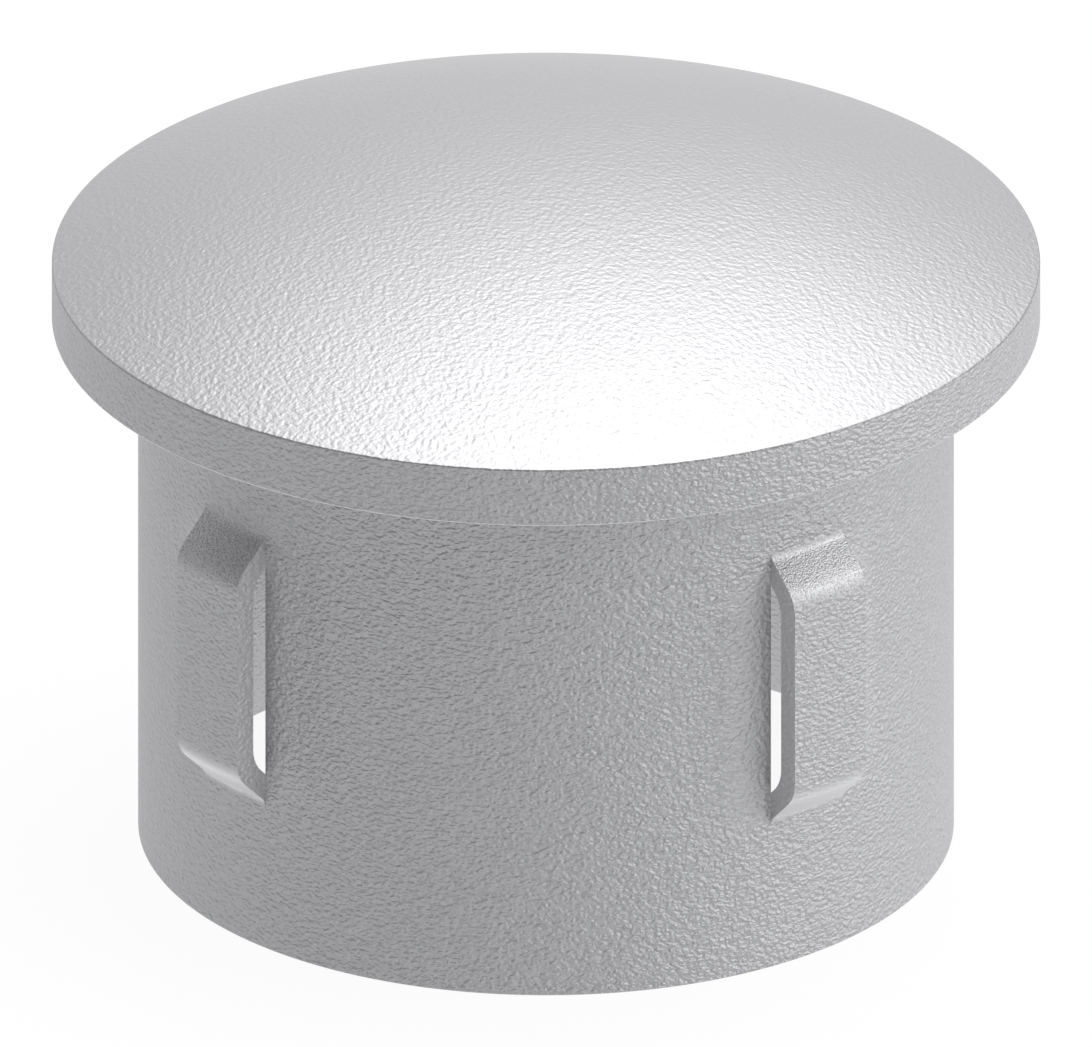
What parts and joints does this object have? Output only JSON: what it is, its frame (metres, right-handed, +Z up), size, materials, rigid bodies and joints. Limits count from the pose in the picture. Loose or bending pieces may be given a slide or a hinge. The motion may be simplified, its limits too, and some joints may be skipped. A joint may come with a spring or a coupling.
{
  "type": "tube end cap",
  "caption": "Domed steel end cap: a flat-seated rim closes the end of a round tube, and a hollow skirt with lanced bridges grips its bore.",
  "frame": {"origin": "centre of the skirt's open end, where the cap stands", "axes": "+Z up along the cap's axis, from the open end to the dome; +X and +Y through the middles of two neighbouring bridges"},
  "size_m": [0.0422, 0.0422, 0.0305],
  "materials": {
    "steel": "bare steel sheet with a fine pebbled grain, satin"
  },
  "bodies": {
    "root": {"end_cap": "steel"}
  },
  "joints": []
}
